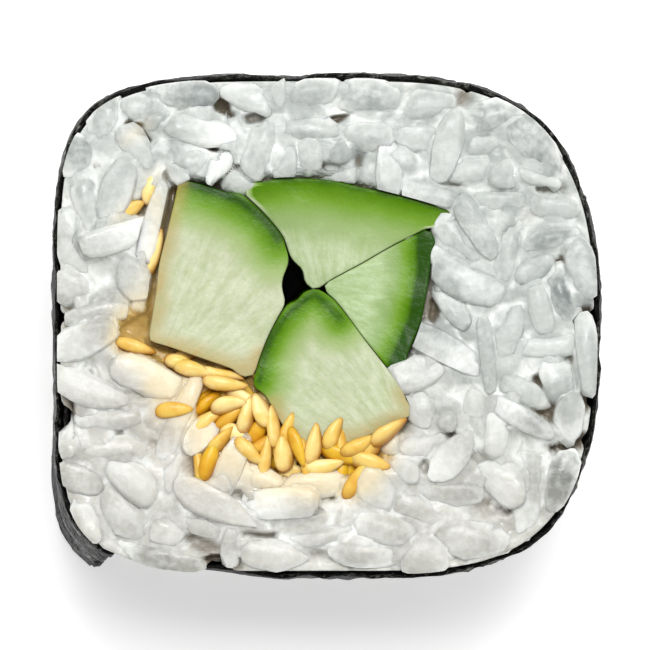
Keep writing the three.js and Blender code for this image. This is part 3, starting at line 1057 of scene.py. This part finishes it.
def settle(grains, seed_beads, pull, rounds=150, pace=0.6):
    """Lets the grains find room: beads part where they overlap, keep inside the wrap, off
    the sticks and seeds and between the layer's two levels, and each grain is laid again
    through its moved beads. pull draws them gently towards the cut face."""
    radius = np.repeat(grains.width, len(BEADS))
    owner = np.repeat(np.arange(len(grains.width)), len(BEADS))
    for step in range(rounds):
        beads = grains.beads().reshape(-1, 3)
        if step % 8 == 0:
            i, j = near_pairs(beads, beads, BEAD_REACH)
            other = owner[i] != owner[j]
            pairs = (i[other], j[other])
            on_seeds = near_pairs(beads, seed_beads, SEED_REACH)
        room = SQUEEZE * (radius[pairs[0]] + radius[pairs[1]])
        push = 0.5 * pair_push(beads, beads, pairs, room)
        room = FIRM * (radius[on_seeds[0]] + SEED_BEAD_RADIUS)
        push += pair_push(beads, seed_beads, on_seeds, room)
        gap, outward = wall_distance(beads)
        push -= outward * np.maximum(FIRM * radius - gap, 0)[:, None]
        gap, away = stick_distance(beads)
        push += away * np.maximum(FIRM * radius - gap, 0)[:, None]
        push[:, 2] += pull
        push[:, 2] += np.maximum(grains.low + radius - beads[:, 2], 0)
        push[:, 2] -= np.maximum(beads[:, 2] - grains.high + radius, 0)
        moved = (beads + pace * push * grains.moves[owner][:, None]).reshape(-1, len(BEADS), 3)
        grains.middle = moved.mean(1)
        direction = np.einsum("b,nbk->nk", BEADS, moved - grains.middle[:, None])
        grains.direction = direction / np.linalg.norm(direction, axis=1)[:, None]


def closest_points(middle, direction, reach, i, j):
    """The nearest points of two straight grains' middle lines, held within their lengths."""
    between = middle[i] - middle[j]
    slant = np.sum(direction[i] * direction[j], 1)
    first = np.sum(direction[i] * between, 1)
    second = np.sum(direction[j] * between, 1)
    spread = np.maximum(1 - slant**2, 1e-4)
    s = np.clip((slant * second - first) / spread, -reach[i], reach[i])
    t = np.clip(slant * s + second, -reach[j], reach[j])
    s = np.clip(slant * t - first, -reach[i], reach[i])
    return middle[i] + s[:, None] * direction[i], middle[j] + t[:, None] * direction[j]


def contact_planes(grains, most=18):
    """For each grain, the planes where it meets its neighbours: across the line between
    the two nearest points, shared in the ratio of the widths. The nearest come first, and
    places without a plane hold one that is far away."""
    reach = grains.length - grains.width
    i, j = near_pairs(grains.middle, grains.middle, MIDDLE_REACH)
    i, j = i[i != j], j[i != j]
    p, q = closest_points(grains.middle, grains.direction, reach, i, j)
    line = q - p
    gap = np.maximum(np.linalg.norm(line, axis=1), 0.2)
    normal = line / gap[:, None]
    share = grains.width[i] / (grains.width[i] + grains.width[j])
    level = np.sum(p * normal, 1) + gap * share
    close = gap < MEETING * (grains.width[i] + grains.width[j])
    order = np.lexsort((gap, ~close, i))
    count = len(grains.width)
    normals = np.zeros((count, most, 3))
    levels = np.full((count, most), 1e3)
    rank = np.zeros(len(i), int)
    starts = np.searchsorted(i[order], np.arange(count))
    rank[order] = np.arange(len(i)) - starts[i[order]]
    used = close & (rank < most)
    normals[i[used], rank[used]] = normal[used]
    levels[i[used], rank[used]] = level[used]
    return normals, levels


def soft_over(excess, softness):
    """How far a point is drawn back when it passes a face: zero well inside, all of the
    excess well outside, and softly between."""
    return softness * np.logaddexp(0, excess / softness)


def grain_points(grains, rng):
    """The grains' surfaces: slightly bent, tapered and flattened ovals with soft lumps."""
    count = len(grains.width)
    shape = oval(RINGS, AROUND)
    taper = 1 + rng.normal(0, 0.14, (count, 1)) * shape[:, 0]
    flat = rng.uniform(0.8, 1.0, (count, 1))
    bend = rng.normal(0, 0.22, (count, 1)) * shape[:, 0] ** 2
    local_x = GRAIN_SWELL * grains.length[:, None] * shape[:, 0]
    local_y = GRAIN_SWELL * grains.width[:, None] * (shape[:, 1] * taper + bend)
    local_z = GRAIN_SWELL * grains.width[:, None] * shape[:, 2] * taper * flat
    helper = rng.normal(0, 1, (count, 3))
    side = np.cross(grains.direction, helper)
    side /= np.linalg.norm(side, axis=1)[:, None]
    third = np.cross(grains.direction, side)
    points = grains.middle[:, None] + local_x[..., None] * grains.direction[:, None]
    points = points + local_y[..., None] * side[:, None] + local_z[..., None] * third[:, None]
    away = points - grains.middle[:, None]
    return points + away * (0.12 * rough(points, 1.3, 71) + 0.05 * rough(points, 0.6, 72))[..., None]


def press(points, grains, upper, rng):
    """Presses each grain flat where it meets its neighbours, the sticks, the wrap and the
    knife's cut. The upper cut leaves each grain a little higher or lower than the rest, and
    some of them proud."""
    normals, levels = contact_planes(grains)
    for _ in range(2):
        for k in range(levels.shape[1]):
            normal = normals[:, None, k]
            past = np.sum(points * normal, -1) - levels[:, None, k]
            points = points - soft_over(past - 0.05, GRAIN_SOFTNESS)[..., None] * normal
        gap, away = stick_distance(points)
        points = points + soft_over(0.04 - gap, WALL_SOFTNESS)[..., None] * away
        gap, outward = wall_distance(points)
        points = points - soft_over(0.03 - gap, WALL_SOFTNESS)[..., None] * outward
    if upper:
        count = (len(points), 1)
        proud = rng.random(count) < 0.4
        tilt = rng.normal(0, 0.08, (len(points), 1, 2))
        slope = np.sum(tilt * (points - grains.middle[:, None])[..., :2], -1)
        cut = UPPER_CUT + rng.normal(0, 0.15, count) + rng.uniform(0.1, 0.5, count) * proud + slope
        softness = rng.uniform(0.08, 0.45, count)
        points[..., 2] -= soft_over(points[..., 2] - cut, softness)
    else:
        points[..., 2] += soft_over(LOWER_CUT + 0.02 - points[..., 2], 0.05)
        points[..., 2] = np.maximum(points[..., 2], 0)
    return points


# A map of heights in plan: cells of this pitch that reach past the roll on every side. Each
# face of a grain crosses it in this many steps each way.
CELL = 0.1
MAP_HALF = 17.0
MAP_SIDE = int(2 * MAP_HALF / CELL)
FINE = 6
# How far the maps go down below the upper and the lower cut.
UPPER_DEPTH, LOWER_DEPTH = 2.0, 1.6

# Within how many cells the paste fills a crease, how far it stays below its map, and the
# most that it lies below the cut near the wrap.
FILL_REACH = 4
PASTE_LEVEL = 0.05
LOWEST_PASTE = 0.4
# How far the broken bits stand out of the paste, and how big they are.
BIT_HEIGHT = 0.28
BIT_SIZE = 1.25
# The deepest bare crease.
MOST_BARE = 1.4
# The least area, in square millimetres, that a grain has to show to be made.
LEAST_AREA = 1.0
# Depths below the cut between which the rice is painted darker, as painted shade in the pits.
PIT_FROM, PIT_TO = 0.35, 1.3
# A middle in plan from which every direction meets the bundle of sticks, how wide a window
# in degrees finds its reach, how far the core reaches into it, and how far the core stays
# inside the rice's outer limit.
BUNDLE_MIDDLE = np.array([-1.4, 0.8])
BUNDLE_WINDOW = 0.6
CORE_OVERLAP = 0.06
CORE_INSET = 0.25
# The middle of the stained pocket in plan, and its stretch along X and Y.
STAIN_MIDDLE = (-4.5, -5.0)
STAIN_STRETCH = (1.3, 1.0)


def cell_index(points):
    """The map's cells that points lie over."""
    return tuple(((np.moveaxis(points[..., :2], -1, 0) + MAP_HALF) / CELL).astype(int))


def height_map(points, floor):
    """The highest point of the grains over each cell of the map, and whose it is: every
    face is crossed in even steps, both ways, and each cell keeps the highest step."""
    body = points[:, :-2].reshape(len(points), RINGS, AROUND, 3)
    body = np.concatenate([body, body[:, :, :1]], 2)
    poles = np.broadcast_to(points[:, -2:, None], (len(points), 2, AROUND + 1, 3))
    body = np.concatenate([poles[:, :1], body, poles[:, 1:]], 1)
    share = (np.arange(FINE) / FINE)[:, None, None]
    body = body[:, :-1, None] * (1 - share) + body[:, 1:, None] * share
    body = body.reshape(len(points), -1, AROUND + 1, 3)
    body = body[:, :, :-1, None] * (1 - share[:, 0]) + body[:, :, 1:, None] * share[:, 0]
    steps = body.reshape(-1, 3)
    upwards = np.argsort(steps[:, 2], kind="stable")
    heights = np.full((MAP_SIDE, MAP_SIDE), floor)
    owner = np.full((MAP_SIDE, MAP_SIDE), -1)
    cells = cell_index(steps[upwards])
    heights[cells] = np.maximum(steps[upwards, 2], floor)
    owner[cells] = upwards // (len(steps) // len(points))
    return heights, owner


def spread_map(heights, reach, pick):
    """The highest or lowest value within reach cells, along both ways of the map."""
    for axis in (0, 1):
        heights = pick.reduce([np.roll(heights, k, axis) for k in range(-reach, reach + 1)])
    return heights


def blur_map(heights, reach):
    """The map blurred both ways by a bell curve."""
    shifts = np.arange(-2 * reach, 2 * reach + 1)
    bell = np.exp(-0.5 * (shifts / reach) ** 2)
    for axis in (0, 1):
        moved = [w * np.roll(heights, k, axis) for k, w in zip(shifts, bell)]
        heights = sum(moved) / bell.sum()
    return heights


def paste_maps(points, floor):
    """Two surfaces under the grains: the paste, which fills creases to the grains beside
    them, and the bare one, which follows each crease down. Also the area that each grain
    shows above the paste, in square millimetres."""
    heights, owner = height_map(points, floor)
    spread = spread_map(heights, FILL_REACH, np.maximum)
    closed = spread_map(spread, FILL_REACH, np.minimum)
    paste = blur_map(closed, 2)
    clear = (heights > paste - PASTE_LEVEL) & (owner >= 0)
    area = np.bincount(owner[clear], minlength=len(points)) * CELL**2
    return np.stack([paste, blur_map(heights, 1)]), area


def rice_layer(placed, count, levels, pull, seed_beads, rng):
    """The points and tones of a layer of grains, drawn up to the upper cut by a pull over 0
    or down to the lower one."""
    grains = Grains(placed, count, *levels, rng)
    settle(grains, seed_beads, pull)
    return press(grain_points(grains, rng), grains, pull > 0, rng), grains.tone


def stain_at(flat):
    """Warmth that the sesame has given the rice: 1 at the seeds, fading over 10 mm, and
    less than half all over the seeds' side of the roll."""
    pocket = np.linalg.norm((flat[..., :2] - STAIN_MIDDLE) / STAIN_STRETCH, axis=-1)
    side = ramp(-4.0, 8.0, -0.9 * flat[..., 1] - 0.35 * flat[..., 0])
    return np.maximum((1 - ramp(2.0, 10.0, pocket)) * 0.9, 0.45 * side)


def broken_bits(flat, size=BIT_SIZE):
    """Bits of broken grains in plan: each cell of a slightly warped grid holds one oval dome
    at its own place and turn, and the highest counts. Gives its height from 0 to 1, and a
    value from -1 to 1 of its own."""
    flat = flat + 0.3 * rough(flat, 0.9, 97)[..., None]
    home = np.floor(flat[..., :2] / size)
    height, own = np.zeros(flat.shape[:-1]), np.zeros(flat.shape[:-1])
    for shift in product((-1, 0, 1), repeat=2):
        cell = home + shift
        key = np.concatenate([cell, 0 * cell[..., :1]], -1)
        across, up = (0.5 + 0.5 * cell_value(key, salt) for salt in (92, 93))
        gap = flat[..., :2] - (cell + np.stack([across, up], -1)) * size
        turn = np.pi * cell_value(key, 94)
        along = gap[..., 0] * np.cos(turn) + gap[..., 1] * np.sin(turn)
        aside = gap[..., 1] * np.cos(turn) - gap[..., 0] * np.sin(turn)
        dome = 1 + 0.25 * cell_value(key, 95) - (along / size) ** 2 - (aside / size / 0.6) ** 2
        own = np.where(dome > height, cell_value(key, 96), own)
        height = np.maximum(height, dome)
    return np.sqrt(np.minimum(height, 1)), own


def paste_height(points, maps, lowest):
    """Height of the core's end: the paste, roughened by broken bits and sunk in two kinds
    of places, in the openings by the depth of each and down to the bare creases where
    random relief is high. Near the wrap it stays above the lowest level."""
    flat = points * (1, 1, 0)
    paste, bare = maps[:, *cell_index(points)]
    rim = 1 - ramp(0.6, 1.6, wall_distance(points)[0])
    paste = np.maximum(paste, lowest - 0.7 * (1 - rim))
    relief = 0.05 * rough(flat, 2.6, 84) + 0.04 * rough(flat, 0.8, 85) + 0.02 * rough(flat, 0.4, 88)
    relief = relief + BIT_HEIGHT * (0.95 - broken_bits(flat)[0])
    relief = np.maximum(relief, -0.03)
    gap, _, which = outline_distance(points, OPENINGS)
    opened = 1 - ramp(-0.08, 0.14 + 0.45 * rim, gap + 0.1 * rough(flat, 0.5, 91))
    chance = ramp(0.42, 0.6, rough(flat + 3.3, 1.7, 86)) * (1 - rim)
    bared = chance * np.clip(paste - bare, 0, MOST_BARE)
    depth = np.maximum(opened * OPENING_DEPTHS[which], bared)
    relief = np.where(depth > 0.05, np.abs(relief), relief)
    return paste - depth - PASTE_LEVEL - relief


def make_core(upper_maps, lower_maps, amber, finish, around=480):
    """The core: the rice pressed into one mass, a ring from just inside the sticks' outline
    to the wrap. Its section is a closed loop, whose share runs from 0 at the hole to 1 at
    the wrap, and its two ends follow the grains' own surface a little lower down."""
    angle = np.linspace(0, 2 * np.pi, around, endpoint=False)[:, None]
    reach = np.vstack([evenly(GROWN[name], 900) for name in STICK_NAMES]) - BUNDLE_MIDDLE
    turn = np.arctan2(reach[:, 1], reach[:, 0])
    facing = np.cos(turn[None] - angle) > math.cos(math.radians(BUNDLE_WINDOW))
    bundle = np.max(np.where(facing, np.hypot(*reach.T)[None], 0), 1)[:, None]
    hole = bundle - CORE_OVERLAP
    low, high = CORE_DROP, UPPER_CUT - CORE_DROP
    fine, coarse = np.linspace(0, 1, 84), np.linspace(0, 1, 34)
    rise = np.linspace(low, high, 10)[1:-1]
    share = np.concatenate([coarse, 0 * rise + 1, fine[::-1], 0 * rise])[None]
    height = np.concatenate([0 * coarse + low, rise, 0 * fine + high, rise[::-1]])[None]
    limit = rice_limit(angle, height + 0 * angle) - CORE_INSET
    hole_x = BUNDLE_MIDDLE[0] + hole * np.cos(angle)
    hole_y = BUNDLE_MIDDLE[1] + hole * np.sin(angle)
    x = hole_x + share * (limit * np.cos(angle) - hole_x)
    y = hole_y + share * (limit * np.sin(angle) - hole_y)
    points = np.stack([x, y, height + 0 * angle], -1)
    upper_end = paste_height(points, upper_maps, UPPER_CUT - LOWEST_PASTE)
    lower_end = paste_height(points, lower_maps, -LOWER_CUT - LOWEST_PASTE)
    upper = ramp(high - 1.5, high, height)
    lower = 1 - ramp(low, low + 1.2, height)
    points[..., 2] += upper * (upper_end - high) + lower * (-lower_end - low)
    points[..., 2] = np.maximum(points[..., 2], 0.05)
    gap, outward = wall_distance(points)
    points -= outward * np.maximum(0.2 - gap, 0)[..., None]
    rows, columns = points.shape[:2]
    quads = grid_faces(rows + 1, columns) % (rows * columns)
    sunk = np.maximum(upper * (UPPER_CUT - upper_end), lower * (-LOWER_CUT - lower_end))
    # painted shade: the core is painted darker the further it is sunk below the cut, and near the
    # sesame amber-tan from a shallower depth.
    pit = ramp(PIT_FROM, PIT_TO, sunk)
    bit, own = broken_bits(points * (1, 1, 0))
    # painted highlight: the broken bits are painted paler on their flanks, like the grains'
    # shoulders.
    shoulder = 0.9 * (1 - ramp(0.5, 0.9, bit))
    fields = rice_fields(points, 0.72 + 0.14 * own, shoulder, pit, amber)
    fields["pit"] = np.maximum(pit, fields["amber"] * ramp(0.2, 0.6, sunk))
    return make_piece("rice_core", points, [quads], finish, "rice", ["rice"], **fields)


def amber_map(seed_beads):
    """Where the sesame has tinted the rice: at the seeds and along the outer sides of the
    stained gap and the wedge, blurred by a narrow and by a wide bell curve."""
    glow = np.zeros((MAP_SIDE, MAP_SIDE))
    np.add.at(glow, cell_index(seed_beads), 1.0)
    edge = BESIDE[(BESIDE[:, 0] < -8.4) | (BESIDE[:, 1] < -0.9)]
    np.add.at(glow, cell_index(np.vstack([edge, WEDGE])), 0.35)
    return blur_map(glow, 4) + 2.2 * blur_map(glow, 12)


def rice_fields(points, tone, rim, pit, amber):
    """The fields that the rice's finish reads, at points on grains or on the core."""
    tone = tone + 0.18 * rough(points, 1.6, 87) + 0.1 * rough(points, 0.7, 89)
    tint = ramp(0.004, 0.05, amber[cell_index(points)] * (1 + 0.5 * rough(points, 0.9, 90)))
    return {"tone": tone, "stain": stain_at(points), "rim": rim, "pit": pit, "amber": tint}


def make_rice(seed_rows, rng, finish):
    """Two layers of grains, at the upper and the lower cut, over the core that fills the
    middle of the roll."""
    lengths = np.array([turned_frame(*row[3:6])[0] for row in seed_rows])
    beads = (seed_rows[:, None, :3] + SEED_BEADS[:, None] * lengths[:, None]).reshape(-1, 3)
    upper_plan = UPPER_GRAINS, FILLER_GRAINS, UPPER_LAYER, UPPER_PULL
    upper, upper_tone = rice_layer(*upper_plan, beads, rng)
    lower, lower_tone = rice_layer([], LOWER_GRAINS, LOWER_LAYER, LOWER_PULL, beads, rng)
    upper_maps, upper_area = paste_maps(upper, UPPER_CUT - UPPER_DEPTH)
    lower_maps, lower_area = paste_maps(lower * (1, 1, -1), -LOWER_CUT - LOWER_DEPTH)
    amber = amber_map(beads)
    make_core(upper_maps, lower_maps, amber, finish)
    shown = np.concatenate([upper_area, lower_area]) > LEAST_AREA
    points = np.concatenate([upper, lower])[shown]
    sign = np.repeat([1, -1], [len(upper), len(lower)])[shown]
    crown = (sign[:, None] * points[..., 2]).max(1)
    # painted highlight: each grain is painted paler below its crown, on its shoulders.
    rim = ramp(0.0, 0.45, crown[:, None] - sign[:, None] * points[..., 2])
    faces = repeat_faces(ball_faces(RINGS, AROUND), len(points), points.shape[1])
    tone = np.concatenate([upper_tone, lower_tone])[shown][:, None] + 0 * rim
    fields = rice_fields(points, tone, rim, 0 * rim, amber)
    return make_piece("rice_grains", points, faces, finish, "rice", **fields)


# ---------------------------------------------------------------- stage


# In metres from here on: the roll's middle, which the lights and the camera face.
AIM = (0, 0, 0.011)


def make_floor(half=1.5):
    """A flat square floor."""
    mesh = bpy.data.meshes.new("floor")
    corners = [(-half, -half, 0), (half, -half, 0), (half, half, 0), (-half, half, 0)]
    mesh.from_pydata(corners, [], [(0, 1, 2, 3)])
    mesh.materials.append(floor_finish())
    floor = bpy.data.objects.new("floor", mesh)
    bpy.context.scene.collection.objects.link(floor)


def make_light(name, place, size, power):
    """A square soft light that faces the roll."""
    lamp = bpy.data.lights.new(name, "AREA")
    lamp.size = size
    lamp.energy = power
    light = bpy.data.objects.new(name, lamp)
    light.location = place
    facing = Vector(np.array(AIM) - place)
    light.rotation_euler = facing.to_track_quat("-Z", "Y").to_euler()
    bpy.context.scene.collection.objects.link(light)


def make_world(strength):
    """Even white light from all round."""
    world = bpy.data.worlds.new("studio")
    world.use_nodes = True
    background = world.node_tree.nodes["Background"]
    background.inputs["Color"].default_value = (1, 1, 1, 1)
    background.inputs["Strength"].default_value = strength
    bpy.context.scene.world = world


def make_camera(place, view_width):
    """A camera that faces the roll, with the back of the roll at the top of its view, which
    is view_width across at the roll's middle."""
    place, target = Vector(place), Vector(AIM)
    data = bpy.data.cameras.new("camera")
    data.lens = data.sensor_width * (place - target).length / view_width
    data.clip_start, data.clip_end = 0.01, 10
    camera = bpy.data.objects.new("camera", data)
    camera.location = place
    look = place - target
    up = Vector((0, 1, 0))
    right = up.cross(look).normalized()
    upright = look.cross(right).normalized()
    axes = Matrix((right, upright, look.normalized())).transposed()
    camera.rotation_euler = axes.to_euler()
    bpy.context.scene.collection.objects.link(camera)
    bpy.context.scene.camera = camera


def make_stage():
    """The floor, the light, and the camera almost straight above, a little to the left and
    towards the back."""
    make_floor()
    make_world(strength=0.55)
    make_light("window", place=(0.02, 0.15, 0.46), size=0.2, power=1.95)
    make_camera(place=(-0.008, 0.004, 0.611), view_width=0.0375)
    bpy.context.scene.view_settings.view_transform = "Standard"


def main():
    rng = np.random.default_rng(11)
    cucumber = cucumber_finish()
    for name in STICK_NAMES:
        make_stick(name, cucumber)
    make_sheet(nori_finish())
    seed_rows = seed_table(rng)
    make_seeds(seed_rows, rng, sesame_finish())
    make_rice(seed_rows, rng, rice_finish())
    make_stage()


main()
